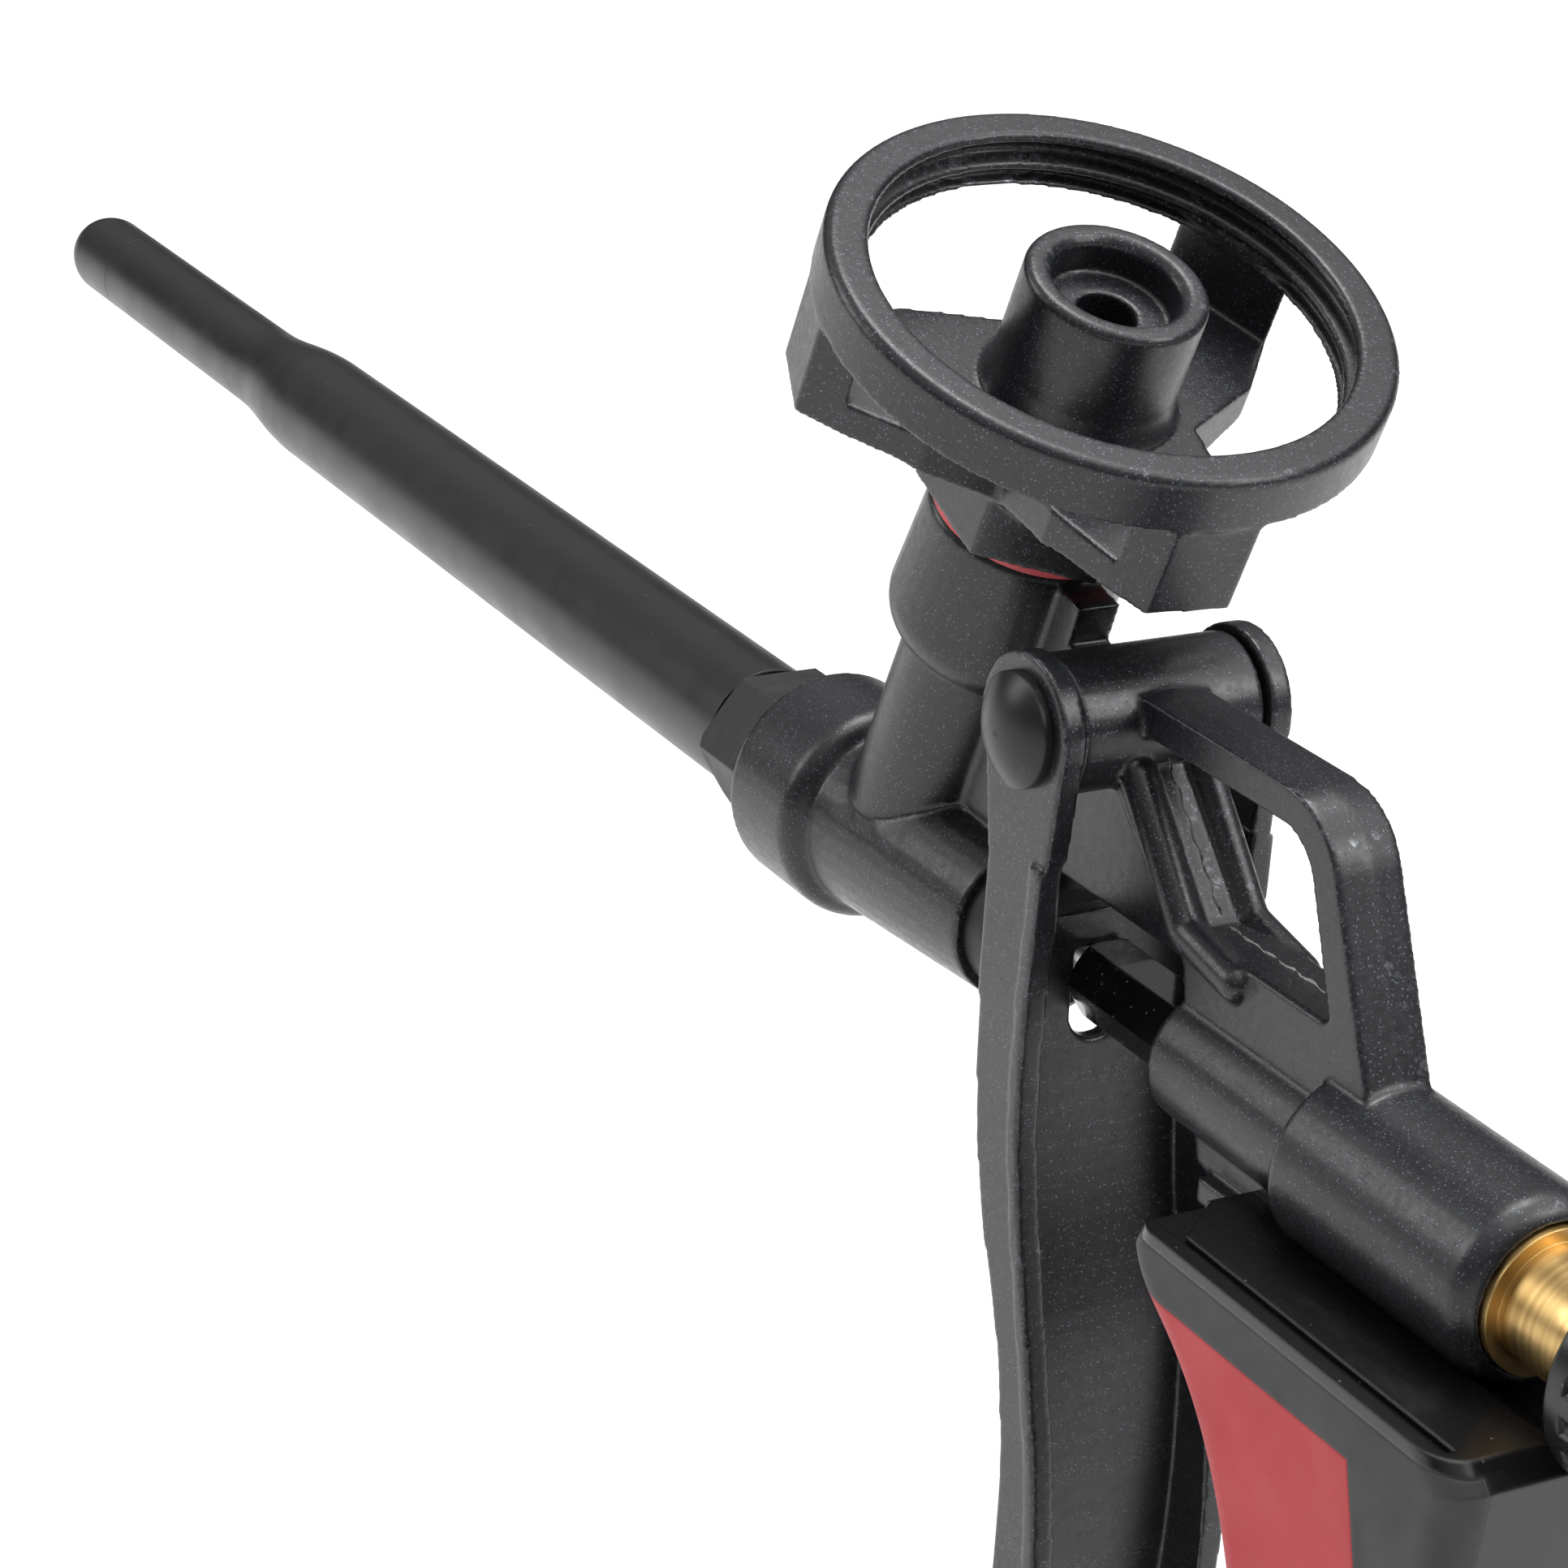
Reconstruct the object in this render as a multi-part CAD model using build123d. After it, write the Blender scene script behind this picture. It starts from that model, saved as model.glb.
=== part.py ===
"""Foam applicator gun with a leaning can adapter, a long barrel and a sprung needle valve.

Millimetres, +Z up. The origin is the mouth of the nozzle on the barrel's axis.
The barrel lies along X, the handle is at the +X end, and the left side is -Y.
"""
import os
from math import cos, radians, sin, sqrt
from build123d import *

# ---- driving dimensions: barrel ----
TIP_R = 5.2                 # rounded nozzle piece
TIP_END = 17.0              # rear face of the nozzle piece
NARROW_R = 5.2              # swaged front of the barrel
THICK_R = 6.65              # main barrel
SWAGE_START = 63.0
SWAGE_END = 81.5
NUT_START = 197.4           # hexagon ahead of the body
BODY_START = 209.0          # front face of the body's collar
SPIGOT_R = 5.4              # barrel end inside the hexagon and the body
SPIGOT_END = 219.0
HEX_ACROSS = 14.0
HEX_TURN = 12.2

# ---- body casting ----
COLLAR_R = 10.6
COLLAR_END = 221.2
TUBE_FRONT_R = 8.9          # conical body behind the collar
TUBE_REAR_R = 7.5
TUBE_END = 246.5
NECK_X = 226.0              # where the neck's axis meets the barrel's axis
LEAN = 23.4                 # neck leans back from vertical
NECK_R = 7.2
NECK_COLLAR_R = 9.9         # lower end of the slightly conical collar
NECK_COLLAR_TOP_R = 9.35
NECK_COLLAR_BASE = 25.0
NECK_TOP = 40.5
WEB_HALF = 2.1              # flat web between neck, pivot and arm
WEB_UNDER = 8.0             # height of the web's lower edge

# ---- pivot and arms ----
PIVOT_X = 260.4
PIVOT_Z = 24.9
BOSS_R = 6.0
BOSS_HALF = 8.9
PIN_R = 2.5
PIN_FIT = 0.06
ARM_HALF = 3.2
DRAFT = 5.0                 # casting draft of the arms, degrees
ARM_TOP = 28.7
SILL = 11.85                # lower edge of the arms' window

# ---- rear housing ----
HOUSING_START = 275.0
HOUSING_STEP = 295.5
HOUSING_END = 320.5
HOUSING_SMALL_R = 6.1
HOUSING_R = 8.1
CHAMBER_START = 297.0
CHAMBER_R = 6.2

# ---- needle ----
NEEDLE_R = 1.5
NEEDLE_FIT = 0.06
NEEDLE_START = 3.6
SLEEVE_START = 258.9
SLEEVE_END = 291.0
SLEEVE_ACROSS = 6.6
SLEEVE_TURN = -4.5
GLAND_END = 252.8
GLAND_R = 6.6
SLEEVE_FIT = 0.07
STOP_START = 297.6
STOP_LENGTH = 3.4
STOP_R = 5.8
SEAT_START = 317.4          # spring seat at the rear of the chamber
SEAT_END = 319.0
KNOB_START = 331.0
KNOB_END = 346.0
KNOB_R = 9.2
KNOB_FLUTES = 18
SCREW_R = 5.0

# ---- can adapter, heights along the neck's axis ----
GASKET_H = 0.7
GASKET_R = 9.2
HUB_BASE = NECK_TOP + GASKET_H
HUB_ACROSS = 19.0
HUB_TOP = 49.5
RING_TOP = 64.6
RING_BASE = 59.4
RING_R = 24.8
POST_R = 24.5                # flat outer ends of the arms
POST_INNER = 21.0
ARM_UNDER = 50.6             # underside of the arms at their outer ends
ARM_UPPER = 53.4
RING_BORE = 20.8
THREAD_ROOT = 22.3
NIPPLE_R = 8.0
NIPPLE_TOP = 65.4
NIPPLE_BORE = 5.56
NIPPLE_FLOOR = 62.0
ARM_PLAN = [(0.0, 9.3), (14.5, 8.8), (20.8, 6.0), (24.5, 3.9)]    # radius, half width
ARM_TURNS = (-4, 116, -109)
VALVE_HOLE = 2.6
THREAD_R = 5.5              # adapter spigot inside the neck
THREAD_BASE = 33.0
CHECK_R = 4.0               # chamber of the check valve
CHECK_BASE = 18.0
VALVE_SEAT_BASE = 31.0
BALL_R = 3.0
BALL_H = 29.0

# ---- trigger ----
EAR_R = 6.6
EAR_HALF = 11.3
EAR_GAP = 9.2
TRIGGER_FOOT_HALF = 9.7     # half width at the finger end
TRIGGER_WALL = 1.8
HEAD_R = 5.0
HEAD_TOP = 2.6
HEAD_DOME_R = 8.2

# ---- handle ----
GRIP_HALF = 14.9
GRIP_ROUND = 3.0
GRIP_TOP = -6.4
PANEL_TOP = -7.5
GROOVE_Y = 12.5              # shallow groove along the top of each shell
PANEL_Y = 11.6              # grey panels start this far out
INLAY_TOP = -11.6
INLAY_Y = 13.0
SCREW_PLACES = [(309.0, -34.0), (315.0, -88.0)]
SHANK_R = 1.5
SCREW_HEAD_R = 2.9

PIVOT = Pos(PIVOT_X, 0, PIVOT_Z)
NECK = Location((NECK_X, 0, 0), (0, LEAN, 0))


def rod(radius, start, end):
    """Round bar along the barrel's axis."""
    return Pos((start + end) / 2, 0, 0) * Rot(0, 90, 0) * Cylinder(radius, end - start)


def hex_rod(across, start, end, turn=0):
    """Hexagonal bar along the barrel's axis."""
    section = Rot(turn, 0, 0) * Plane.YZ * RegularPolygon(across / 2, 6, major_radius=False)
    return extrude(Pos(start, 0, 0) * section, amount=end - start, dir=(1, 0, 0))


def turned(*points):
    """Solid of revolution about the barrel's axis, from (x, radius) points."""
    return revolve(Plane.XZ * make_face(Polyline(*points, close=True)), Axis.X)


def stem(radius, base, top):
    """Round bar along the neck's axis, between two heights."""
    return NECK * Pos(0, 0, (base + top) / 2) * Cylinder(radius, top - base)


def neck_turned(*points):
    """Solid of revolution about the neck's axis, from (radius, height) points."""
    return NECK * revolve(Plane.XZ * make_face(Polyline(*points, close=True)), Axis.Z)


def plate(outline, half):
    """Flat plate in the middle plane from an XZ outline."""
    return extrude(Plane.XZ * outline, amount=half, both=True)


def plate_drafted(outline, half, draft):
    """Middle-plane plate that thins out from its parting line to both faces."""
    return extrude(Plane.XZ * outline, amount=half, both=True, taper=draft)


def box_between(low, high):
    """Box from its lowest to its highest corner."""
    size = [h - l for l, h in zip(low, high)]
    middle = [(h + l) / 2 for l, h in zip(low, high)]
    return Pos(*middle) * Box(*size)


def along_y(radius, x, z, start, end):
    """Round bar across the handle."""
    return Pos(x, (start + end) / 2, z) * Rot(90, 0, 0) * Cylinder(radius, end - start)


def spring(coil_r, wire_r, length, turns):
    """Open coil spring standing on Z, its wire inside 0 to length."""
    path = Helix(pitch=(length - 2 * wire_r) / turns, height=length - 2 * wire_r, radius=coil_r)
    section = Plane(origin=path @ 0, z_dir=path % 0) * Circle(wire_r)
    return Pos(0, 0, wire_r) * sweep(section, path=path, is_frenet=True)


# ---------------------------------------------------------------- barrel

def nozzle_tip():
    """Rounded nozzle with the needle's conical seat."""
    nose = RadiusArc((0, 2.6), (6.0, TIP_R), 7.2)
    sides = Polyline(
        (6.0, TIP_R), (TIP_END, TIP_R), (TIP_END, 3.0), (8.0, 3.0), (2.6, 1.3), (0, 1.3), (0, 2.6),
    )
    return revolve(Plane.XZ * make_face(nose + sides), Axis.X)


def barrel_tube():
    """Tube with an S-shaped swage down to its narrow front."""
    swage = Spline((SWAGE_START, NARROW_R), (SWAGE_END, THICK_R), tangents=((1, 0), (1, 0)))
    rest = Polyline(
        (SWAGE_END, THICK_R), (NUT_START, THICK_R), (NUT_START, SPIGOT_R), (SPIGOT_END, SPIGOT_R),
        (SPIGOT_END, 4.2), (NUT_START - 4, 4.2), (NUT_START - 5, 5.1), (SWAGE_END, 5.1),
        (SWAGE_START, 3.7), (TIP_END, 3.7), (TIP_END, NARROW_R), (SWAGE_START, NARROW_R),
    )
    return revolve(Plane.XZ * make_face(swage + rest), Axis.X)


def barrel_nut():
    """Hexagon that locks the barrel into the body."""
    blank = hex_rod(HEX_ACROSS, NUT_START, BODY_START, HEX_TURN)
    corner_r = HEX_ACROSS / sqrt(3)
    chamfers = turned(
        (NUT_START, 0), (NUT_START, corner_r - 0.8), (NUT_START + 0.8, corner_r + 0.01),
        (BODY_START, corner_r + 0.01), (BODY_START, 0),
    )
    return (blank & chamfers) - rod(SPIGOT_R, NUT_START, BODY_START)


def barrel_seal():
    """Ring seal at the end of the barrel."""
    return rod(SPIGOT_R, SPIGOT_END, SPIGOT_END + 1.6) - rod(3.8, SPIGOT_END, SPIGOT_END + 1.6)


# ---------------------------------------------------------------- body casting

def front_body():
    """Front collar with a rounded rear rim, and the conical tube behind it."""
    rim = RadiusArc((COLLAR_END - 2.2, COLLAR_R), (COLLAR_END, COLLAR_R - 1.5), 2.5)
    edge = Polyline(
        (COLLAR_END, COLLAR_R - 1.5), (COLLAR_END - 0.6, COLLAR_R - 1.6), (COLLAR_END - 0.6, TUBE_FRONT_R),
        (TUBE_END, TUBE_REAR_R), (TUBE_END, 0), (BODY_START, 0),
        (BODY_START, COLLAR_R - 0.6), (BODY_START + 0.6, COLLAR_R), (COLLAR_END - 2.2, COLLAR_R),
    )
    return revolve(Plane.XZ * make_face(rim + edge), Axis.X)


def neck():
    """Leaning neck with a larger collar that has a rounded lower shoulder."""
    shoulder = RadiusArc((NECK_R, NECK_COLLAR_BASE), (NECK_COLLAR_R, NECK_COLLAR_BASE + 4.0), -4.6)
    edge = Polyline(
        (NECK_COLLAR_R, NECK_COLLAR_BASE + 4.0), (NECK_COLLAR_TOP_R, NECK_TOP - 0.5),
        (NECK_COLLAR_TOP_R - 0.5, NECK_TOP), (0, NECK_TOP), (0, 0), (NECK_R, 0), (NECK_R, NECK_COLLAR_BASE),
    )
    return NECK * revolve(Plane.XZ * make_face(shoulder + edge), Axis.Z)


def web():
    """Flat web from the body and the back of the neck to the pivot and the front arm."""
    rib_out = 12.6
    lean = radians(LEAN)
    rib_top = (
        NECK_X + rib_out * cos(lean) + (NECK_TOP - 0.2) * sin(lean),
        (NECK_TOP - 0.2) * cos(lean) - rib_out * sin(lean),
    )
    outline = Polyline(
        (232.0, 4.0), (231.0, 12.0), (NECK_X + 16.0, 34.6), rib_top, (252.2, 28.2), (256.0, 28.0),
        (PIVOT_X, PIVOT_Z), (268.0, 17.0), (275.5, WEB_UNDER), (238.5, WEB_UNDER), close=True,
    )
    return plate(make_face(outline), WEB_HALF)


def arms():
    """Drafted frame of the upper, rear and diagonal arms, around a four-sided window."""
    corners = [
        (PIVOT_X, ARM_TOP), (291.9, ARM_TOP), (302.5, 4.0), (275.6, 4.0), (274.6, 8.2), (256.4, PIVOT_Z),
    ]
    outer = FilletPolyline(*corners, radius=(0.5, 8.0, 0.5, 0.5, 0.5, 0.5), close=True)
    holes = [(263.2, 25.2), (289.4, 25.2), (294.6, SILL), (275.7, SILL)]
    window = FilletPolyline(*holes, radius=(0.5, 5.0, 0.4, 0.4), close=True)
    return plate_drafted(make_face(outer) - make_face(window), ARM_HALF, DRAFT)


def diagonal_ribs():
    """Round bead on each side of the diagonal arm, bent level above the housing."""
    route = [(266.2, 21.6), (275.0, 11.4), (282.6, 9.9)]
    bead_r = 1.6
    beads = Part()
    for side in (-1, 1):
        for (x0, z0), (x1, z1) in zip(route, route[1:]):
            line = Line((x0, side * ARM_HALF, z0), (x1, side * ARM_HALF, z1))
            beads += sweep(Plane(origin=line @ 0, z_dir=line % 0) * Circle(bead_r), path=line)
        for x, z in route:
            beads += Pos(x, side * ARM_HALF, z) * Sphere(bead_r)
    return beads


def rear_housing():
    """Rear tube with a step up to the larger cylinder and a rounded rear rim."""
    rim = RadiusArc((HOUSING_END - 2.0, HOUSING_R), (HOUSING_END, HOUSING_R - 1.6), 2.2)
    edge = Polyline(
        (HOUSING_END, HOUSING_R - 1.6), (HOUSING_END, 0), (HOUSING_START, 0),
        (HOUSING_START, HOUSING_SMALL_R - 0.4), (HOUSING_START + 0.4, HOUSING_SMALL_R),
        (HOUSING_STEP, HOUSING_SMALL_R), (HOUSING_STEP, HOUSING_R - 0.3), (HOUSING_STEP + 0.3, HOUSING_R),
        (HOUSING_END - 2.0, HOUSING_R),
    )
    return revolve(Plane.XZ * make_face(rim + edge), Axis.X)


def tang():
    """Stepped web under the housing that carries the handle."""
    upper = Polyline((277.4, -4.0), (278.6, -8.2), (318.0, -8.2), (318.0, -4.0), close=True)
    lower = Polyline(
        (279.2, -7.6), (280.4, -10.4), (291.0, -12.2), (299.5, -19.5), (305.0, -30.0), (313.0, -60.0),
        (317.0, -96.0), (330.0, -96.0), (330.0, -70.0), (322.0, -30.0), (318.0, -7.6), close=True,
    )
    shelf = box_between((281.0, -4.0, -10.4), (318.0, 4.0, -8.0))
    return plate(make_face(upper), 2.6) + plate(make_face(lower), 2.2) + shelf


def casting_bores():
    """Everything that is hollow in the casting."""
    bores = rod(SPIGOT_R, BODY_START, SPIGOT_END + 1.6)
    bores += rod(3.6, SPIGOT_END, 233.0) + rod(4.2, 232.5, TUBE_END)
    bores += stem(2.5, 3.0, CHECK_BASE + 1) + stem(CHECK_R, CHECK_BASE, THREAD_BASE)
    bores += stem(THREAD_R, THREAD_BASE, NECK_TOP)
    sleeve_r = SLEEVE_ACROSS / sqrt(3) + SLEEVE_FIT
    bores += rod(sleeve_r, HOUSING_START, CHAMBER_START) + rod(CHAMBER_R, CHAMBER_START, HOUSING_END)
    bores += PIVOT * Rot(90, 0, 0) * Cylinder(PIN_R + PIN_FIT, 4 * BOSS_HALF)
    for x, z in SCREW_PLACES:
        bores += along_y(SHANK_R, x, z, -9.0, 9.6)
    return bores


def frame_casting():
    """One die casting: front body, neck, web, pivot boss, arms, rear housing and handle tang."""
    boss = PIVOT * Rot(90, 0, 0) * Cylinder(BOSS_R, 2 * BOSS_HALF)
    casting = front_body() + neck() + web() + arms() + boss
    casting += diagonal_ribs() + rear_housing() + tang()
    return casting - casting_bores()


# ---------------------------------------------------------------- can adapter

def adapter_arm(angle):
    """L-shaped arm from the hub out and up to the ring, narrower at its outer end."""
    side = Polyline(
        (4.0, 46.0), (8.0, 48.2), (16.0, 50.2), (POST_R, ARM_UNDER), (POST_R, RING_BASE + 1),
        (POST_INNER, RING_BASE + 1), (POST_INNER, ARM_UPPER), (4.0, ARM_UPPER), close=True,
    )
    blade = plate(make_face(side), 2 * HUB_ACROSS)
    left = [(radius, -half) for radius, half in reversed(ARM_PLAN)]
    plan = extrude(make_face(Polyline(*ARM_PLAN, *left, close=True)), amount=2 * RING_BASE)
    return NECK * Rot(0, 0, angle) * (blade & plan)


def can_ring():
    """Threaded ring that holds the can, with a chamfered top edge."""
    return neck_turned(
        (RING_R, RING_BASE), (RING_R, RING_TOP - 0.6), (RING_R - 0.6, RING_TOP), (RING_BORE + 0.5, RING_TOP),
        (RING_BORE + 0.1, RING_TOP - 0.7), (THREAD_ROOT, RING_TOP - 1.5), (THREAD_ROOT, RING_TOP - 2.4),
        (RING_BORE, RING_TOP - 3.0), (RING_BORE, RING_TOP - 3.5), (THREAD_ROOT - 0.4, RING_TOP - 4.0),
        (THREAD_ROOT - 0.4, RING_TOP - 4.5), (RING_BORE, RING_BASE + 0.3), (RING_BORE, RING_BASE),
    )


def can_adapter():
    """Ring, three arms, hexagonal hub, nipple and the spigot screwed into the neck."""
    hub_section = RegularPolygon(HUB_ACROSS / 2, 6, major_radius=False)
    hub = NECK * Pos(0, 0, HUB_BASE) * extrude(hub_section, amount=HUB_TOP - HUB_BASE)
    nipple = neck_turned(
        (0, THREAD_BASE), (THREAD_R, THREAD_BASE), (THREAD_R, HUB_BASE), (8.6, HUB_BASE), (8.6, ARM_UPPER),
        (NIPPLE_R + 0.3, ARM_UPPER + 1.0), (NIPPLE_R, ARM_UPPER + 3.0), (NIPPLE_R, NIPPLE_TOP - 0.5),
        (NIPPLE_R - 0.5, NIPPLE_TOP), (0, NIPPLE_TOP),
    )
    adapter = hub + nipple + can_ring()
    for angle in ARM_TURNS:
        adapter += adapter_arm(angle)
    mouth = neck_turned(
        (0, NIPPLE_FLOOR), (NIPPLE_BORE, NIPPLE_FLOOR), (NIPPLE_BORE, NIPPLE_TOP - 0.7),
        (NIPPLE_BORE + 0.7, NIPPLE_TOP), (NIPPLE_BORE + 0.7, NIPPLE_TOP + 1), (0, NIPPLE_TOP + 1),
    )
    return adapter - mouth - stem(VALVE_HOLE, THREAD_BASE, NIPPLE_FLOOR + 1)


def adapter_gasket():
    """Flat washer between the neck and the adapter's hub."""
    return stem(GASKET_R, NECK_TOP, HUB_BASE) - stem(THREAD_R, NECK_TOP, HUB_BASE)


def inlet_seat():
    """Valve seat pressed in above the check ball."""
    return stem(CHECK_R, VALVE_SEAT_BASE, THREAD_BASE) - stem(VALVE_HOLE, VALVE_SEAT_BASE, THREAD_BASE)


def inlet_ball():
    """Check ball just below its seat."""
    return NECK * Pos(0, 0, BALL_H) * Sphere(BALL_R)


def inlet_spring():
    """Light coil spring under the check ball."""
    return NECK * Pos(0, 0, CHECK_BASE) * spring(2.3, 0.3, 8.6, 5)


# ---------------------------------------------------------------- needle valve

def packing_seal():
    """Seal around the needle inside the body."""
    return rod(4.2, 233.0, 236.0) - rod(NEEDLE_R + NEEDLE_FIT, 233.0, 236.0)


def gland_nut():
    """Dark round nut behind the body that presses on the packing."""
    blank = turned(
        (236.0, 0), (236.0, 4.2), (TUBE_END, 4.2), (TUBE_END, GLAND_R), (GLAND_END - 1.0, GLAND_R),
        (GLAND_END, GLAND_R - 1.0), (GLAND_END, 0),
    )
    return blank - rod(NEEDLE_R + 0.5, 236.0, GLAND_END)


def needle():
    """Long valve rod with a conical point."""
    return turned((NEEDLE_START, 0), (8.4, NEEDLE_R), (315.0, NEEDLE_R), (315.0, 0))


def needle_sleeve():
    """Glossy hexagonal sleeve that the trigger pushes back."""
    bar = hex_rod(SLEEVE_ACROSS, SLEEVE_START, SLEEVE_END, SLEEVE_TURN)
    corner_r = SLEEVE_ACROSS / sqrt(3)
    ends = turned(
        (SLEEVE_START, 0), (SLEEVE_START, corner_r - 0.6), (SLEEVE_START + 0.5, corner_r + 0.01),
        (SLEEVE_END - 0.5, corner_r + 0.01), (SLEEVE_END, corner_r - 0.6), (SLEEVE_END, 0),
    )
    return (bar & ends) - rod(NEEDLE_R, SLEEVE_START, SLEEVE_END)


def needle_stop():
    """Collar that joins the needle to the return spring."""
    disc = rod(STOP_R, STOP_START, STOP_START + STOP_LENGTH) + rod(3.2, SLEEVE_END, STOP_START)
    return disc - rod(NEEDLE_R, SLEEVE_END, STOP_START + STOP_LENGTH)


def return_spring():
    """Spring between the needle's collar and the spring seat."""
    start = STOP_START + STOP_LENGTH + 0.1
    return Pos(start, 0, 0) * Rot(0, 90, 0) * spring(4.6, 0.5, SEAT_START - start, 6)


def spring_seat():
    """Washer that the spring rests on, moved along by the adjusting screw."""
    return rod(STOP_R, SEAT_START, SEAT_END) - rod(NEEDLE_R + 0.5, SEAT_START, SEAT_END)


def adjusting_screw():
    """Brass screw in the rear of the housing, bored for the end of the needle."""
    body = turned(
        (SEAT_END, 0), (SEAT_END, CHAMBER_R - 0.06), (HOUSING_END + 0.6, CHAMBER_R - 0.06),
        (HOUSING_END + 0.6, SCREW_R), (KNOB_START + 8.0, SCREW_R), (KNOB_START + 8.0, 0),
    )
    return body - rod(NEEDLE_R + 0.5, SEAT_END, KNOB_START + 6.0)


def adjusting_knob():
    """Fluted knob with a domed end."""
    dome = RadiusArc((KNOB_END - 1.6, KNOB_R - 0.4), (KNOB_END, KNOB_R - 3.0), 3.2)
    edge = Polyline(
        (KNOB_END, KNOB_R - 3.0), (KNOB_END, 0), (KNOB_START, 0), (KNOB_START, KNOB_R - 0.8),
        (KNOB_START + 0.8, KNOB_R), (KNOB_END - 1.6, KNOB_R - 0.4),
    )
    knob = revolve(Plane.XZ * make_face(dome + edge), Axis.X)
    flute = Pos(0, 0, KNOB_R + 0.5) * rod(1.0, KNOB_START + 2.4, KNOB_END + 1)
    flutes = [Rot(360 / KNOB_FLUTES * i, 0, 0) * flute for i in range(KNOB_FLUTES)]
    return knob - flutes - rod(SCREW_R, KNOB_START, KNOB_START + 8.0)


# ---------------------------------------------------------------- trigger

FRONT_LINE = [
    (256.4, 15.0), (256.7, 4.3), (256.9, -6.5), (257.5, -14.0), (259.3, -22.5), (261.8, -30.0),
    (263.4, -38.0), (264.2, -50.0), (263.0, -64.0), (259.6, -75.0), (254.6, -83.0),
]
REAR_LINE = [
    (265.6, 14.0), (265.0, 0.0), (264.8, -11.0), (267.0, -25.0), (270.0, -40.0), (271.4, -54.0),
    (269.8, -67.0), (265.4, -78.5), (259.8, -86.0),
]


def trigger_outline(front_shift=0.0, rear_shift=0.0):
    """Side outline of the trigger below its ears."""
    front = Spline(*[(x + front_shift, z) for x, z in FRONT_LINE])
    rear = Spline(*[(x + rear_shift, z) for x, z in REAR_LINE])
    return make_face(front + rear + Line(front @ 0, rear @ 0) + Line(front @ 1, rear @ 1))


def trigger_front_view(half_top, half_foot):
    """Front outline of the trigger, narrower towards the fingers."""
    side = Polyline(
        (half_top, 40.0), (half_top, 2.0), (half_foot, -42.0), (half_foot - 0.6, -100.0),
        (0.6 - half_foot, -100.0), (-half_foot, -42.0), (-half_top, 2.0), (-half_top, 40.0), close=True,
    )
    return extrude(Plane.YZ * make_face(side), amount=400)


def trigger():
    """Forked channel that hangs on the pivot and pushes the needle's sleeve."""
    blade = plate(trigger_outline(), 2 * EAR_HALF) & trigger_front_view(EAR_HALF, TRIGGER_FOOT_HALF)
    hollow = plate(trigger_outline(TRIGGER_WALL, 20.0), 2 * EAR_HALF)
    hollow &= trigger_front_view(EAR_HALF - TRIGGER_WALL, TRIGGER_FOOT_HALF - TRIGGER_WALL)
    hollow &= box_between((200, -20, -79), (300, 20, 30))
    rear = Spline(*REAR_LINE)
    inner = Spline(*[(x - 1.7, z) for x, z in REAR_LINE])
    rim = plate(make_face(rear + inner + Line(rear @ 0, inner @ 0) + Line(rear @ 1, inner @ 1)), 2 * EAR_HALF)
    rim &= trigger_front_view(EAR_HALF + 0.5, TRIGGER_FOOT_HALF + 0.5)
    ears = PIVOT * Rot(90, 0, 0) * Cylinder(EAR_R, 2 * EAR_HALF)
    necks = Polyline((254.6, 23.0), (256.4, 13.0), (265.6, 13.0), (267.0, 24.9), close=True)
    fork = ears + plate(make_face(necks), EAR_HALF)
    gap = box_between((240, -EAR_GAP, 6.2), (280, EAR_GAP, 40))
    slot = box_between((250, -2.7, -3.4), (262, 2.7, 2.8))
    slot += Pos(256, 0, -3.4) * Rot(0, 90, 0) * Cylinder(2.7, 12)
    return blade + rim + fork - hollow - gap - slot - PIVOT * Rot(90, 0, 0) * Cylinder(PIN_R, 4 * EAR_HALF)


def rivet_head():
    """Domed rivet head about Z, standing on its flat side."""
    dome = Pos(0, 0, HEAD_TOP - HEAD_DOME_R) * Sphere(HEAD_DOME_R)
    return Pos(0, 0, HEAD_TOP / 2) * Cylinder(HEAD_R, HEAD_TOP) & dome


def pivot_pin():
    """Pivot rod with its left domed head."""
    shaft = PIVOT * Rot(90, 0, 0) * Cylinder(PIN_R, 2 * EAR_HALF)
    return shaft + PIVOT * Pos(0, -EAR_HALF, 0) * Rot(90, 0, 0) * rivet_head()


def pivot_cap():
    """Domed head on the pivot's right end."""
    return PIVOT * Pos(0, EAR_HALF, 0) * Rot(-90, 0, 0) * rivet_head()


# ---------------------------------------------------------------- handle

def grip_outline():
    """Side outline of the handle."""
    front = Spline((286.6, -8.6), (288.4, -11.8), (292.6, -15.0), (297.0, -19.0), (302.0, -27.0),
                   (307.0, -42.0), (311.4, -62.0), (314.4, -84.0), (315.0, -106.0), (312.6, -116.0))
    foot = Spline((312.6, -116.0), (320.0, -118.6), (334.0, -119.0), (340.6, -116.4))
    rear = Spline((340.6, -116.4), (341.2, -100.0), (338.6, -72.0), (333.6, -46.0), (329.0, -28.0),
                  (329.6, -16.0), (330.4, GRIP_TOP - 2.0))
    top = Polyline((330.4, GRIP_TOP - 2.0), (328.6, GRIP_TOP), (287.6, GRIP_TOP), (286.6, -8.6))
    return make_face(front + foot + rear + top)


def grip_solid():
    """Whole handle before it is divided, rounded at its front and back."""
    solid = plate(grip_outline(), GRIP_HALF)
    sides = ShapeList([edge for edge in solid.edges() if abs(abs(edge.center().Y) - GRIP_HALF) < 0.01])
    top = sides.group_by(Axis.Z)[-1]
    rounded = fillet(ShapeList([edge for edge in sides if edge not in top]), GRIP_ROUND)
    return rounded


def side_slab(side, start):
    """Everything further out than start on one side."""
    low, high = sorted((side * start, side * 40.0))
    return box_between((270, low, -130), (350, high, 0))


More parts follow.
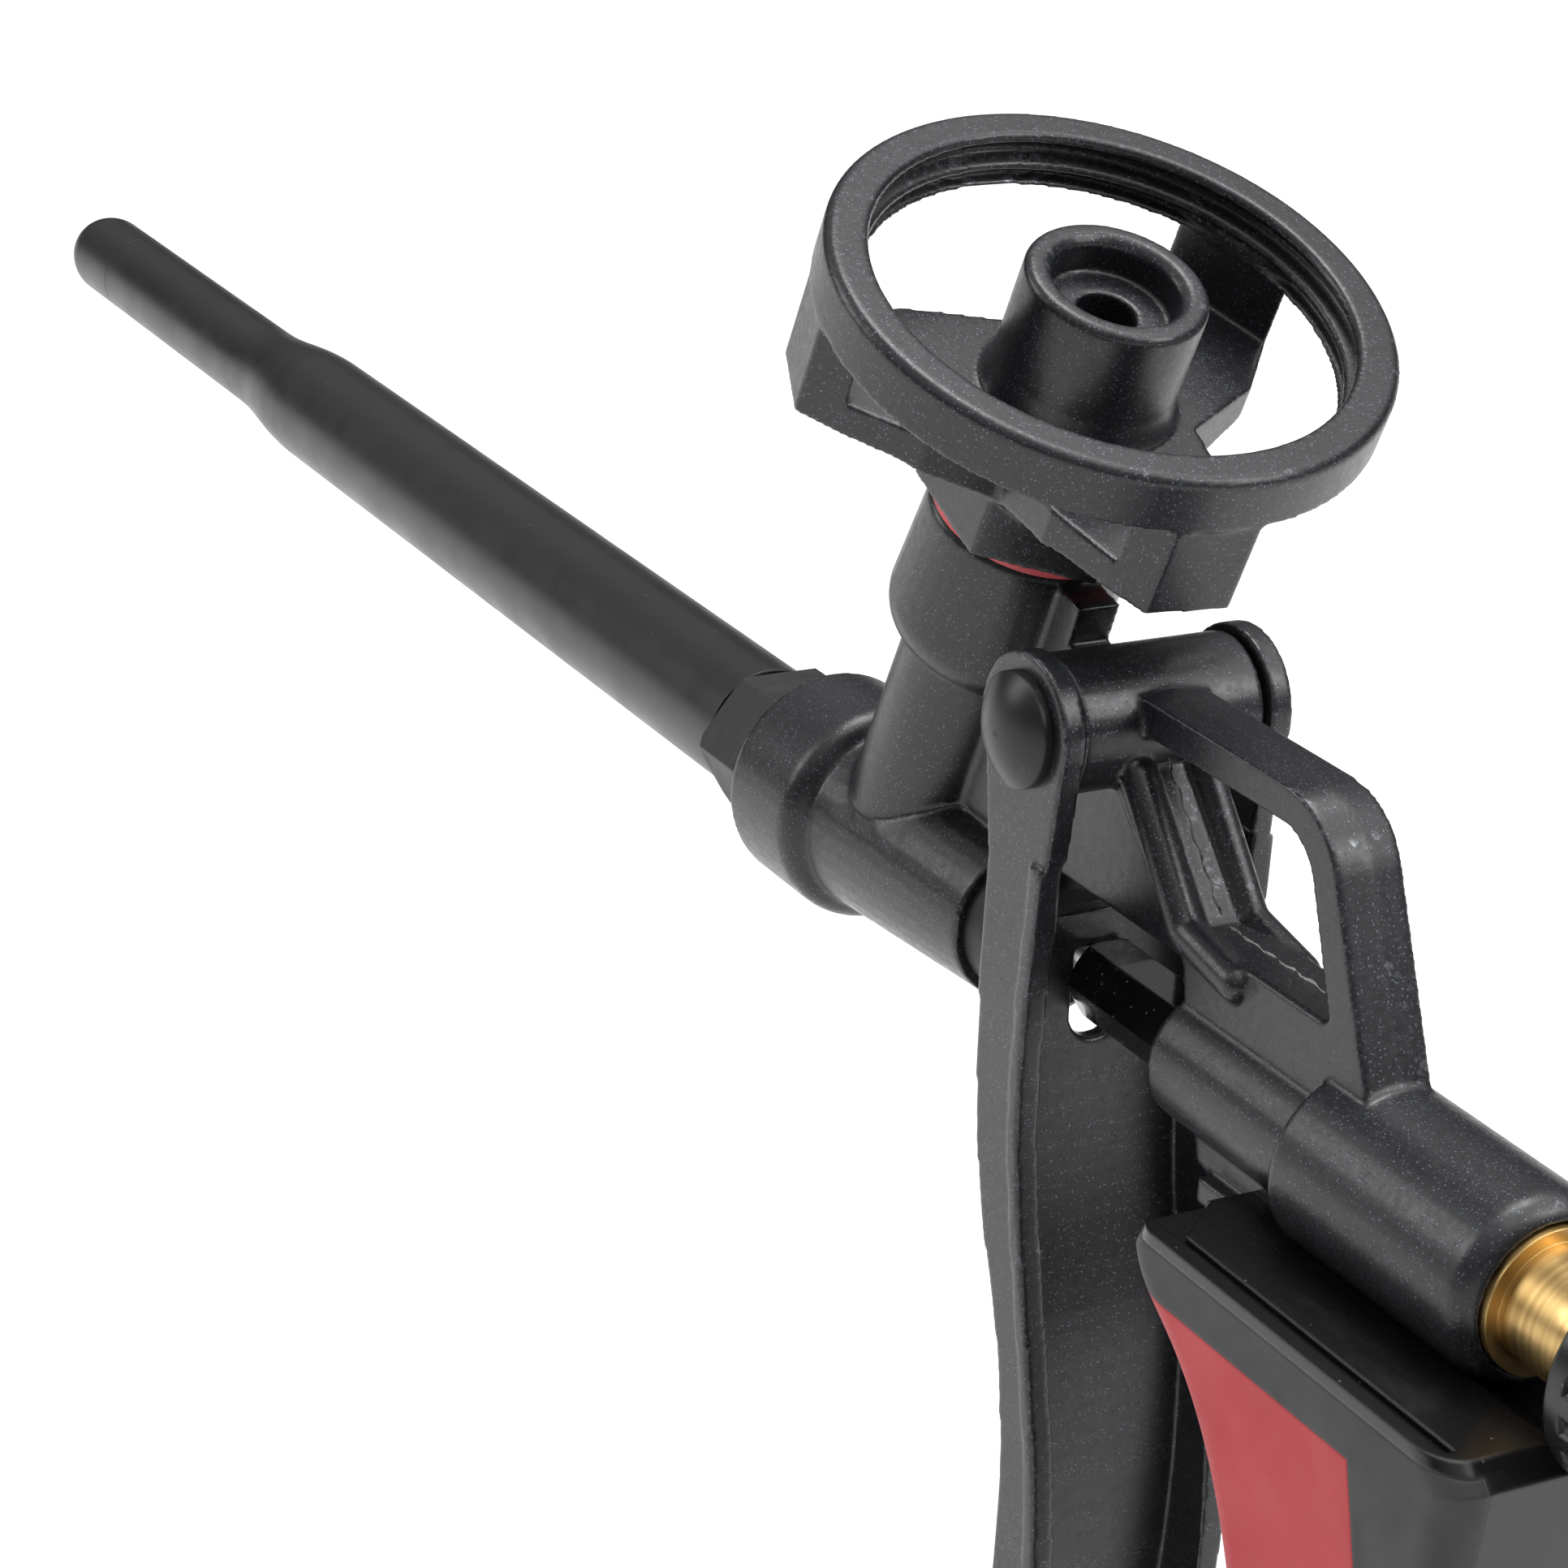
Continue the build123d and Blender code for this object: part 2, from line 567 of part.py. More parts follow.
def panel_space(side):
    """Space of the grey panel on one side."""
    return side_slab(side, PANEL_Y) & box_between((270, -40, -112), (350, 40, PANEL_TOP))


def inlay_space(side):
    """Space of the coloured inlay on one side."""
    top = Line((280.0, INLAY_TOP), (318.0, INLAY_TOP))
    rear = Spline((318.0, INLAY_TOP), (323.0, -30.0), (329.0, -58.0), (332.0, -84.0), (324.0, -104.0))
    foot = Polyline((324.0, -104.0), (280.0, -104.0), (280.0, INLAY_TOP))
    return plate(make_face(top + rear + foot), 40.0) & side_slab(side, INLAY_Y)


def screw_shapes():
    """Handle screws, entered from the right."""
    screws = []
    for x, z in SCREW_PLACES:
        screw = along_y(SHANK_R, x, z, -9.0, 9.6) + along_y(SCREW_HEAD_R, x, z, 9.6, 11.2)
        screws.append(screw)
    return screws


def handle_screws():
    """Handle screws with a cross recess in their heads."""
    screws = []
    for (x, z), screw in zip(SCREW_PLACES, screw_shapes()):
        cross = box_between((x - 1.7, 10.2, z - 0.35), (x + 1.7, 11.3, z + 0.35))
        cross += box_between((x - 0.35, 10.2, z - 1.7), (x + 0.35, 11.3, z + 1.7))
        screws.append(screw - cross)
    return Compound(children=[Solid(s.solids()[0].wrapped) for s in screws])


def screw_access():
    """Counterbores above the screw heads."""
    return Part() + [along_y(SCREW_HEAD_R, x, z, 11.2, 20.0) for x, z in SCREW_PLACES]


def handle_shell(side):
    """Black shell of one side, with a groove and a cut corner on its top."""
    half = (grip_solid() & side_slab(side, 0.0)) - panel_space(side) - tang()
    half -= rod(HOUSING_R, HOUSING_STEP, 340.0)
    low, high = sorted((side * GROOVE_Y, side * (GROOVE_Y + 0.8)))
    half -= box_between((284.0, low, GRIP_TOP - 0.8), (327.0, high, GRIP_TOP + 1))
    corner = Polyline(
        (284.0, side * GROOVE_Y), (292.0, side * GROOVE_Y), (287.9, side * 7.5), (284.0, side * 7.5),
        close=True,
    )
    half -= Pos(0, 0, GRIP_TOP - 0.8) * extrude(make_face(corner), amount=2.0, dir=(0, 0, 1))
    return half - screw_shapes() - screw_access()


def grip_panel(side):
    """Soft grey panel of one side."""
    return (grip_solid() & panel_space(side)) - inlay_space(side) - screw_access()


def grip_inlay(side):
    """Coloured inlay of one side."""
    return (grip_solid() & panel_space(side) & inlay_space(side)) - screw_access()


LEFT = -1
RIGHT = 1
NODES = {
    "nozzle_tip": nozzle_tip,
    "barrel_tube": barrel_tube,
    "barrel_nut": barrel_nut,
    "barrel_seal": barrel_seal,
    "frame_casting": frame_casting,
    "can_adapter": can_adapter,
    "adapter_gasket": adapter_gasket,
    "inlet_seat": inlet_seat,
    "inlet_ball": inlet_ball,
    "inlet_spring": inlet_spring,
    "packing_seal": packing_seal,
    "gland_nut": gland_nut,
    "needle": needle,
    "needle_sleeve": needle_sleeve,
    "needle_stop": needle_stop,
    "return_spring": return_spring,
    "spring_seat": spring_seat,
    "adjusting_screw": adjusting_screw,
    "adjusting_knob": adjusting_knob,
    "trigger": trigger,
    "pivot_pin": pivot_pin,
    "pivot_cap": pivot_cap,
    "handle_left": lambda: handle_shell(LEFT),
    "handle_right": lambda: handle_shell(RIGHT),
    "grip_left": lambda: grip_panel(LEFT),
    "grip_right": lambda: grip_panel(RIGHT),
    "inlay_left": lambda: grip_inlay(LEFT),
    "inlay_right": lambda: grip_inlay(RIGHT),
    "handle_screws": handle_screws,
}

os.makedirs("parts", exist_ok=True)
for name, build in NODES.items():
    export_step(build(), f"parts/{name}.step")
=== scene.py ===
"""Looks of the foam applicator gun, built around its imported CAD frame. Metres, +Z up."""

import math
import random

import bmesh
import bpy
from mathutils import Matrix, Vector


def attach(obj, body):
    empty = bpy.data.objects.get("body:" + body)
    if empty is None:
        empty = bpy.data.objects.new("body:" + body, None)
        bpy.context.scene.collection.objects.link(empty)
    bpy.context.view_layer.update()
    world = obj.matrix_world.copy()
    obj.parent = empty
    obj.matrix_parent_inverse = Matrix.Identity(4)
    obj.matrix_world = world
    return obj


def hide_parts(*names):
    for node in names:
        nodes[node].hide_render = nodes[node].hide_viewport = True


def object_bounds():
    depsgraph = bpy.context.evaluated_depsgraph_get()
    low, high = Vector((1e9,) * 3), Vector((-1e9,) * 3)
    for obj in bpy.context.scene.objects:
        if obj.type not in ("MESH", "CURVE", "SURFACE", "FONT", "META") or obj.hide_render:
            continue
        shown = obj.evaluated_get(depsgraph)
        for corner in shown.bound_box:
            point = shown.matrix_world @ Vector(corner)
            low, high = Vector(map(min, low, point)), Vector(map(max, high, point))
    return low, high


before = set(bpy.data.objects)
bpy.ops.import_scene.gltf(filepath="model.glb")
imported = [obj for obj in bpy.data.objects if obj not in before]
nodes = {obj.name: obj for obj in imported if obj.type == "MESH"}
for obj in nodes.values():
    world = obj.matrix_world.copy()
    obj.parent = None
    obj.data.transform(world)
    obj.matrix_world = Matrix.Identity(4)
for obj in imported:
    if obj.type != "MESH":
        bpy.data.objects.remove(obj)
cad_low, cad_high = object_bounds()
scene = bpy.context.scene
MM = 0.001


# ---------------------------------------------------------------- material graph helpers

class Graph:
    """Small helper that builds one procedural material."""

    def __init__(self, name):
        self.material = bpy.data.materials.new(name)
        self.material.use_nodes = True
        self.tree = self.material.node_tree
        self.tree.nodes.clear()
        self.coords = self.add("ShaderNodeTexCoord").outputs["Object"]

    def add(self, kind, **settings):
        node = self.tree.nodes.new(kind)
        for key, value in settings.items():
            setattr(node, key, value)
        return node

    def put(self, socket, value):
        """Links an output to a socket, or sets a constant on it."""
        if hasattr(value, "is_output"):
            self.tree.links.new(value, socket)
        else:
            socket.default_value = value

    def noise(self, scale, detail=3.0, roughness=0.55, stretch=None, distortion=0.0):
        node = self.add("ShaderNodeTexNoise")
        vector = self.coords
        if stretch:
            mapping = self.add("ShaderNodeMapping")
            self.put(mapping.inputs["Vector"], vector)
            mapping.inputs["Scale"].default_value = stretch
            vector = mapping.outputs["Vector"]
        self.put(node.inputs["Vector"], vector)
        node.inputs["Scale"].default_value = scale
        node.inputs["Detail"].default_value = detail
        node.inputs["Roughness"].default_value = roughness
        node.inputs["Distortion"].default_value = distortion
        return node.outputs["Fac"]

    def cells(self, scale):
        """Voronoi cells: distance to the cell's point, and the cell's random colour."""
        node = self.add("ShaderNodeTexVoronoi")
        self.put(node.inputs["Vector"], self.coords)
        node.inputs["Scale"].default_value = scale
        return node.outputs["Distance"], node.outputs["Color"]

    def span(self, value, low, high, out_low=0.0, out_high=1.0):
        """Smooth remap of a value from low..high to out_low..out_high."""
        node = self.add("ShaderNodeMapRange", interpolation_type="SMOOTHSTEP")
        self.put(node.inputs["Value"], value)
        for key, number in zip(("From Min", "From Max", "To Min", "To Max"), (low, high, out_low, out_high)):
            node.inputs[key].default_value = number
        return node.outputs["Result"]

    def calc(self, operation, a, b=0.0):
        node = self.add("ShaderNodeMath", operation=operation, use_clamp=False)
        self.put(node.inputs[0], a)
        self.put(node.inputs[1], b)
        return node.outputs[0]

    def channel(self, colour, index):
        node = self.add("ShaderNodeSeparateColor")
        self.put(node.inputs[0], colour)
        return node.outputs[index]

    def blend(self, factor, a, b):
        """Colour a where the factor is 0 and b where it is 1."""
        node = self.add("ShaderNodeMix", data_type="RGBA")
        self.put(node.inputs[0], factor)
        self.put(node.inputs[6], a if hasattr(a, "is_output") else (*a, 1.0))
        self.put(node.inputs[7], b if hasattr(b, "is_output") else (*b, 1.0))
        return node.outputs[2]

    def bump(self, height, strength, distance, normal=None):
        node = self.add("ShaderNodeBump")
        node.inputs["Strength"].default_value = strength
        node.inputs["Distance"].default_value = distance
        self.put(node.inputs["Height"], height)
        if normal is not None:
            self.put(node.inputs["Normal"], normal)
        return node.outputs["Normal"]

    def soft_edges(self, radius):
        """Normals that round off the sharp edges of a CAD mesh."""
        node = self.add("ShaderNodeBevel", samples=4)
        node.inputs["Radius"].default_value = radius
        return node.outputs["Normal"]

    def edge_mask(self, radius, low=0.02, high=0.12):
        """One near sharp edges, and zero on flat ground."""
        soft = self.soft_edges(radius)
        true_normal = self.add("ShaderNodeNewGeometry").outputs["Normal"]
        dot = self.add("ShaderNodeVectorMath", operation="DOT_PRODUCT")
        self.put(dot.inputs[0], soft)
        self.put(dot.inputs[1], true_normal)
        return self.span(self.calc("SUBTRACT", 1.0, dot.outputs["Value"]), low, high)

    def pointed(self, low, high):
        """One on the worn outer edges of a dense mesh."""
        return self.span(self.add("ShaderNodeNewGeometry").outputs["Pointiness"], low, high)

    def finish(self, colour, roughness, metallic=0.0, normal=None, **constants):
        shader = self.add("ShaderNodeBsdfPrincipled")
        self.put(shader.inputs["Base Color"], colour if hasattr(colour, "is_output") else (*colour, 1.0))
        self.put(shader.inputs["Roughness"], roughness)
        self.put(shader.inputs["Metallic"], metallic)
        if normal is not None:
            self.put(shader.inputs["Normal"], normal)
        for key, value in constants.items():
            shader.inputs[key.replace("_", " ")].default_value = value
        output = self.add("ShaderNodeOutputMaterial")
        self.put(output.inputs["Surface"], shader.outputs[0])
        return self.material


# ---------------------------------------------------------------- materials

def flecks(g, scale, size, share):
    """Mask of scattered round flecks, and their random brightness."""
    distance, colour = g.cells(scale)
    near = g.span(distance, size, size * 0.55)
    chosen = g.span(g.channel(colour, 0), 1.0 - share, 1.0 - share + 0.02)
    return g.calc("MULTIPLY", near, chosen), g.channel(colour, 1)


def cast_metal():
    """Graphite powder coat with fine bright flecks, lighter and glossier on its outer edges: partly wear and
    partly a painted edge highlight.
    """
    g = Graph("cast_metal")
    broad = g.noise(70.0, 2.0)
    fine = g.noise(1300.0, 3.0, 0.6)
    ground = g.blend(g.span(broad, 0.3, 0.7), (0.0062, 0.0066, 0.0078), (0.0105, 0.0111, 0.0130))
    mask_a, bright_a = flecks(g, 4600.0, 0.46, 0.30)
    mask_b, bright_b = flecks(g, 7600.0, 0.50, 0.50)
    light = g.blend(bright_a, (0.03, 0.033, 0.040), (0.20, 0.22, 0.26))
    share_b = g.calc("MULTIPLY", mask_b, g.span(bright_b, 0.2, 1.0, 0.1, 0.6))
    colour = g.blend(share_b, ground, (0.050, 0.055, 0.066))
    colour = g.blend(g.calc("MULTIPLY", mask_a, 0.72), colour, light)
    # outer edges painted lighter: partly worn coat, partly a painted highlight along the edges
    edge = g.pointed(0.515, 0.585)
    wear_and_highlight = g.calc("MULTIPLY", edge, g.span(g.noise(620.0, 4.0, 0.7), 0.44, 0.60))
    colour = g.blend(g.calc("MULTIPLY", wear_and_highlight, 0.70), colour, (0.17, 0.175, 0.19))
    roughness = g.calc("SUBTRACT", g.span(fine, 0.25, 0.75, 0.29, 0.39), g.calc("MULTIPLY", edge, 0.08))
    height = g.calc("ADD", g.calc("MULTIPLY", fine, 0.6), g.calc("MULTIPLY", mask_a, 0.5))
    normal = g.bump(height, 0.35, 0.05 * MM)
    metallic = g.calc("MULTIPLY", g.calc("MAXIMUM", mask_a, wear_and_highlight), 0.7)
    return g.finish(colour, roughness, metallic, normal, Specular_IOR_Level=0.5)


def barrel_black():
    """Smooth satin coat of the barrel, with a little dust."""
    g = Graph("barrel_black")
    broad = g.noise(45.0, 2.0, stretch=(0.3, 1.0, 1.0))
    fine = g.noise(2200.0, 2.0)
    colour = g.blend(g.span(broad, 0.3, 0.7), (0.0070, 0.0070, 0.0074), (0.0100, 0.0100, 0.0106))
    dust, _ = flecks(g, 700.0, 0.10, 0.10)
    colour = g.blend(g.calc("MULTIPLY", dust, 0.35), colour, (0.16, 0.15, 0.14))
    roughness = g.span(g.noise(160.0, 3.0), 0.3, 0.7, 0.33, 0.40)
    normal = g.bump(fine, 0.12, 0.02 * MM, g.soft_edges(0.35 * MM))
    return g.finish(colour, roughness, 0.0, normal, Specular_IOR_Level=0.5)


def nut_dark():
    """Matt machined metal with a dark finish, a little lighter on its corners: partly wear and partly a painted
    edge highlight.
    """
    g = Graph("nut_dark")
    lines = g.noise(260.0, 3.0, stretch=(6.0, 0.6, 0.6))
    colour = g.blend(g.span(lines, 0.3, 0.7), (0.014, 0.0145, 0.0155), (0.024, 0.0245, 0.026))
    # corners painted lighter: partly wear, partly a painted edge highlight
    edge = g.edge_mask(0.35 * MM)
    worn_and_highlight = g.calc("MULTIPLY", edge, g.span(g.noise(700.0), 0.35, 0.65))
    colour = g.blend(g.calc("MULTIPLY", worn_and_highlight, 0.5), colour, (0.10, 0.10, 0.105))
    normal = g.bump(lines, 0.15, 0.03 * MM, g.soft_edges(0.3 * MM))
    return g.finish(colour, g.span(g.noise(300.0), 0.3, 0.7, 0.50, 0.60), 0.25, normal)


def pin_dark():
    """Satin black rivet heads with small dents and brownish rubbed patches."""
    g = Graph("pin_dark")
    patch = g.span(g.noise(420.0, 4.0, 0.65), 0.55, 0.72)
    colour = g.blend(g.calc("MULTIPLY", patch, 0.5), (0.014, 0.0142, 0.0155), (0.060, 0.047, 0.040))
    dents, _ = flecks(g, 900.0, 0.30, 0.16)
    height = g.calc("SUBTRACT", g.calc("MULTIPLY", g.noise(350.0, 3.0), 0.5), g.calc("MULTIPLY", dents, 0.5))
    normal = g.bump(height, 0.35, 0.08 * MM, g.soft_edges(0.4 * MM))
    return g.finish(colour, g.span(patch, 0.0, 1.0, 0.34, 0.46), 0.35, normal)


def sleeve_black():
    """Glossy black plating with dust, fibres and brownish streaks: partly smears and partly a painted brownish
    highlight.
    """
    g = Graph("sleeve_black")
    # brownish streaks along the sleeve: partly smears, partly a painted highlight
    smear_and_sheen = g.span(g.noise(130.0, 4.0, 0.6, stretch=(0.4, 1.0, 1.0)), 0.50, 0.68)
    colour = g.blend(g.calc("MULTIPLY", smear_and_sheen, 0.55), (0.006, 0.006, 0.0065), (0.045, 0.032, 0.022))
    dust, _ = flecks(g, 1500.0, 0.26, 0.20)
    fibre = g.span(g.noise(620.0, 1.0, 0.3, distortion=2.4), 0.497, 0.5)
    back = g.span(g.noise(620.0, 1.0, 0.3, distortion=2.4), 0.506, 0.503)
    strand = g.calc("MULTIPLY", g.calc("MULTIPLY", fibre, back), g.span(g.noise(90.0), 0.5, 0.6))
    specks = g.calc("MAXIMUM", g.calc("MULTIPLY", dust, 0.45), g.calc("MULTIPLY", strand, 0.8))
    colour = g.blend(specks, colour, (0.22, 0.17, 0.12))
    roughness = g.calc("ADD", g.span(smear_and_sheen, 0.0, 1.0, 0.10, 0.30), g.calc("MULTIPLY", specks, 0.4))
    normal = g.bump(g.calc("ADD", g.noise(140.0), specks), 0.12, 0.05 * MM, g.soft_edges(0.35 * MM))
    return g.finish(colour, roughness, 0.0, normal, Specular_IOR_Level=0.6, Coat_Weight=0.6, Coat_Roughness=0.08)


def turned_metal(name, dark, bright, low, high, metallic=1.0):
    """Turned metal with fine rings round the barrel's axis."""
    g = Graph(name)
    rings = g.noise(900.0, 2.0, stretch=(2.0, 0.05, 0.05))
    colour = g.blend(g.span(rings, 0.3, 0.7), dark, bright)
    stain = g.span(g.noise(180.0, 4.0), 0.52, 0.70)
    colour = g.blend(g.calc("MULTIPLY", stain, 0.35), colour, tuple(0.35 * c for c in dark))
    normal = g.bump(rings, 0.15, 0.02 * MM, g.soft_edges(0.2 * MM))
    return g.finish(colour, g.span(g.noise(240.0), 0.3, 0.7, low, high), metallic, normal)


def steel():
    return turned_metal("steel", (0.40, 0.40, 0.40), (0.56, 0.56, 0.57), 0.24, 0.34)


def brass():
    return turned_metal("brass", (0.42, 0.27, 0.10), (0.60, 0.41, 0.17), 0.28, 0.42)


def soft_solid(name, dark, bright, low, high, grain, depth):
    """Rubber or soft plastic with an even fine grain."""
    g = Graph(name)
    mottle = g.noise(260.0, 3.0)
    colour = g.blend(g.span(mottle, 0.3, 0.7), dark, bright)
    height = g.noise(grain, 2.0)
    normal = g.bump(height, 0.3, depth, g.soft_edges(0.3 * MM))
    return g.finish(colour, g.span(mottle, 0.3, 0.7, low, high), 0.0, normal)


def flash_bare_and_highlight():
    """Bare metal along the casting's flash lines, coloured extra bright as a painted highlight on the ridges,
    with patches of coat left on it.
    """
    g = Graph("flash_bare_and_highlight")
    left = g.span(g.noise(1100.0, 4.0, 0.7), 0.50, 0.62)
    # bright colour of the ridges: partly bare metal, partly a painted highlight against their self-shadow
    colour = g.blend(left, (0.68, 0.67, 0.65), (0.080, 0.082, 0.088))
    return g.finish(colour, g.span(g.noise(900.0), 0.3, 0.7, 0.35, 0.55), 0.30, g.bump(left, 0.4, 0.05 * MM))


def seal_rubber():
    return soft_solid("seal_rubber", (0.012, 0.012, 0.012), (0.02, 0.02, 0.02), 0.55, 0.7, 1400.0, 0.03 * MM)


def gasket_red():
    return soft_solid("gasket_red", (0.40, 0.045, 0.052), (0.56, 0.085, 0.095), 0.5, 0.65, 1500.0, 0.04 * MM)


def handle_black():
    """Black moulded plastic, glossy on its rim, with faint scuffs and dust."""
    g = Graph("handle_black")
    scuff = g.span(g.noise(220.0, 5.0, 0.65, stretch=(0.5, 1.0, 1.0)), 0.46, 0.74)
    colour = g.blend(g.calc("MULTIPLY", scuff, 0.15), (0.0058, 0.0058, 0.0062), (0.022, 0.022, 0.024))
    dust, _ = flecks(g, 900.0, 0.14, 0.14)
    colour = g.blend(g.calc("MULTIPLY", dust, 0.5), colour, (0.18, 0.18, 0.18))
    roughness = g.span(scuff, 0.0, 1.0, 0.26, 0.36)
    normal = g.bump(g.noise(500.0, 3.0), 0.10, 0.05 * MM, g.soft_edges(0.45 * MM))
    return g.finish(colour, roughness, 0.0, normal)


def panel_grey():
    """Soft-touch dark grey panel with a fine even grain."""
    g = Graph("panel_grey")
    mottle = g.noise(120.0, 3.0)
    colour = g.blend(g.span(mottle, 0.3, 0.7), (0.023, 0.0225, 0.0225), (0.030, 0.0295, 0.0295))
    grain = g.noise(2600.0, 2.0)
    normal = g.bump(grain, 0.25, 0.03 * MM, g.soft_edges(0.5 * MM))
    return g.finish(colour, g.span(g.noise(300.0), 0.3, 0.7, 0.62, 0.72), 0.0, normal, Sheen_Weight=0.08)


def inlay_red():
    """Soft-touch red inlay with a fine even grain."""
    g = Graph("inlay_red")
    mottle = g.noise(90.0, 3.0)
    colour = g.blend(g.span(mottle, 0.3, 0.7), (0.41, 0.024, 0.031), (0.45, 0.030, 0.038))
    grain = g.noise(2600.0, 2.0)
    normal = g.bump(grain, 0.22, 0.03 * MM, g.soft_edges(0.5 * MM))
    return g.finish(colour, g.span(g.noise(300.0), 0.3, 0.7, 0.58, 0.68), 0.0, normal, Sheen_Weight=0.06)


SLOTS = {
    "cast_metal": (cast_metal, ["frame_casting", "can_adapter", "trigger"]),
    "barrel_black": (barrel_black, ["nozzle_tip", "barrel_tube"]),
    "nut_dark": (nut_dark, ["barrel_nut", "gland_nut"]),
    "pin_dark": (pin_dark, ["pivot_pin", "pivot_cap"]),
    "sleeve_black": (sleeve_black, ["needle_sleeve"]),
    "steel": (steel, ["needle", "inlet_ball", "inlet_spring", "return_spring", "spring_seat", "handle_screws"]),
    "brass": (brass, ["inlet_seat", "needle_stop", "adjusting_screw"]),
    "seal_rubber": (seal_rubber, ["barrel_seal", "packing_seal"]),
    "gasket_red": (gasket_red, ["adapter_gasket"]),
    "handle_black": (handle_black, ["handle_left", "handle_right", "adjusting_knob"]),
    "panel_grey": (panel_grey, ["grip_left", "grip_right"]),
    "inlay_red": (inlay_red, ["inlay_left", "inlay_right"]),
}

materials = {}
for slot, (make, names) in SLOTS.items():
    materials[slot] = make()
    for name in names:
        for entry in nodes[name].material_slots:
            entry.material = materials[slot]


# ---------------------------------------------------------------- cast pieces

def cast_piece(node, body, voxel, rounds):
    """Stands for a cast node: the same shape with soft edges and small fillets."""
    mesh = nodes[node].data.copy()
    piece = bpy.data.objects.new(node + "_cast", mesh)
    scene.collection.objects.link(piece)
    remesh = piece.modifiers.new("remesh", "REMESH")
    remesh.mode = "VOXEL"
    remesh.voxel_size = voxel
    smooth = piece.modifiers.new("smooth", "SMOOTH")
    smooth.factor = 0.5
    smooth.iterations = rounds
    depsgraph = bpy.context.evaluated_depsgraph_get()
    final = bpy.data.meshes.new_from_object(piece.evaluated_get(depsgraph))
    piece.modifiers.clear()
    piece.data = final
    bpy.data.meshes.remove(mesh)
    final.materials.clear()
    final.materials.append(materials["cast_metal"])
    final.polygons.foreach_set("use_smooth", [True] * len(final.polygons))
    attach(piece, body)
    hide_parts(node)
    return piece


cast_piece("frame_casting", "root", 0.29 * MM, 4)
cast_piece("can_adapter", "root", 0.25 * MM, 4)
cast_piece("trigger", "trigger_body", 0.28 * MM, 4)


# ---------------------------------------------------------------- flash lines of the casting

def flash_line(name, path, seed, peak=0.30, half=0.11, step=0.3):
    """Ragged ridge on the casting's middle plane, along (x, z, normal x, normal z) stations in mm."""
    chance = random.Random(seed)
    stations = []
    for (x0, z0, a0, b0), (x1, z1, a1, b1) in zip(path, path[1:]):
        count = max(1, round(math.hypot(x1 - x0, z1 - z0) / step))
        for i in range(count):
            t = i / count
            stations.append((x0 + t * (x1 - x0), z0 + t * (z1 - z0), a0 + t * (a1 - a0), b0 + t * (b1 - b0)))
    stations.append(path[-1])
    heights = [chance.random() ** 1.6 for _ in stations]
    mesh = bmesh.new()
    rings = []
    for i, (x, z, a, b) in enumerate(stations):
        near = heights[max(0, i - 1):i + 2]
        rise = peak * (0.12 + 0.88 * sum(near) / len(near)) if 0 < i < len(stations) - 1 else 0.02
        drift = 0.12 * math.sin(0.7 * i + seed)
        foot = 0.25
        ring = [
            mesh.verts.new(Vector((x - foot * a, drift - half, z - foot * b)) * MM),
            mesh.verts.new(Vector((x + rise * a, drift, z + rise * b)) * MM),
            mesh.verts.new(Vector((x - foot * a, drift + half, z - foot * b)) * MM),
        ]
        rings.append(ring)
    for one, two in zip(rings, rings[1:]):
        for k in range(3):
            mesh.faces.new((one[k], one[(k + 1) % 3], two[(k + 1) % 3], two[k]))
    mesh.faces.new(rings[0][::-1])
    mesh.faces.new(rings[-1])
    bmesh.ops.recalc_face_normals(mesh, faces=mesh.faces)
    data = bpy.data.meshes.new(name)
    mesh.to_mesh(data)
    mesh.free()
    data.materials.append(flash_material)
    piece = bpy.data.objects.new(name, data)
    scene.collection.objects.link(piece)
    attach(piece, "root")
    return piece


flash_material = flash_bare_and_highlight()
flash_line("flash_diagonal", [(264.4, 23.92, 0.730, 0.683), (275.2, 12.38, 0.730, 0.683)], 3)
flash_line("flash_sill", [(276.4, 11.85, 0.0, 1.0), (293.8, 11.85, 0.0, 1.0)], 5)
flash_line("flash_rear_inner", [(294.2, 12.9, -0.932, -0.363), (291.5, 19.8, -0.932, -0.363)], 8, 0.22)


# ---------------------------------------------------------------- floor, light and camera

def area_light(name, place, target, size, power, colour=(1.0, 1.0, 1.0)):
    """Soft box aimed at a point."""
    data = bpy.data.lights.new(name, "AREA")
    data.shape = "RECTANGLE"
    data.size, data.size_y = size
    data.energy = power
    data.color = colour
    light = bpy.data.objects.new(name, data)
    scene.collection.objects.link(light)
    light.location = place
    light.rotation_mode = "QUATERNION"
    light.rotation_quaternion = (Vector(target) - Vector(place)).to_track_quat("-Z", "Y")
    return light


def floor_material():
    g = Graph("floor_pale")
    colour = g.blend(g.span(g.noise(6.0, 3.0), 0.3, 0.7), (0.86, 0.86, 0.86), (0.89, 0.89, 0.89))
    return g.finish(colour, 0.8, 0.0, g.bump(g.noise(300.0), 0.05, 0.1 * MM))


floor_mesh = bpy.data.meshes.new("floor")
FLOOR_HALF = 12.0
floor_z = cad_low.z - 0.5 * MM
grid = bmesh.new()
bmesh.ops.create_grid(grid, x_segments=4, y_segments=4, size=FLOOR_HALF)
grid.to_mesh(floor_mesh)
grid.free()
floor = bpy.data.objects.new("floor", floor_mesh)
floor.location = (0.0, 0.0, floor_z)
floor_mesh.materials.append(floor_material())
scene.collection.objects.link(floor)

